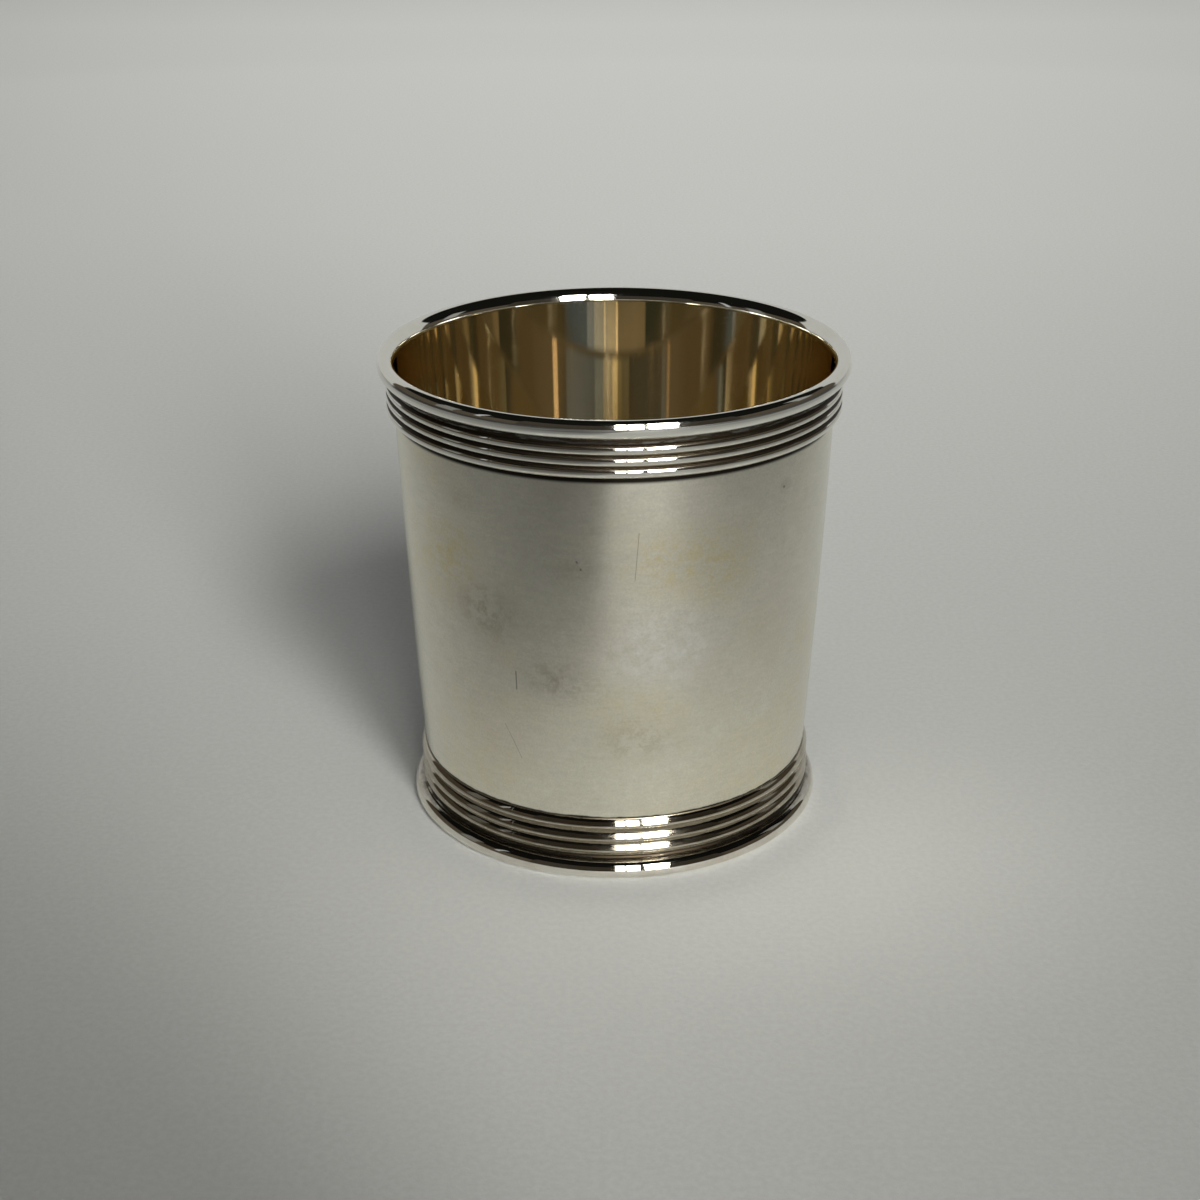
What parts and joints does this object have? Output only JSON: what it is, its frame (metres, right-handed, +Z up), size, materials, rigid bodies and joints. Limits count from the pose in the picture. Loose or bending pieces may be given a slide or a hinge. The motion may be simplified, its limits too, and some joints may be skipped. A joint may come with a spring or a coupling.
{
  "type": "silver cup",
  "caption": "Tapered metal beaker with a rounded lip, reeded bands under the lip and above the foot, and a spreading foot ring; stands upright and holds a drink",
  "frame": {"origin": "centre of the foot ring's underside, on the table", "axes": "+Z up along the cup's axis; the view of the picture looks from the -Y side, with +X to its right"},
  "size_m": [0.0832, 0.0832, 0.0855],
  "materials": {
    "satin_silver": "satin, lightly tarnished and scratched",
    "polished_silver": "polished, with dark tarnish in the grooves"
  },
  "bodies": {
    "root": {"body_wall": "satin_silver", "bottom_disc": "satin_silver", "lip_bead": "polished_silver", "rim_reeded_band": "polished_silver", "foot_reeded_band": "polished_silver", "foot_ring": "polished_silver"}
  },
  "joints": []
}
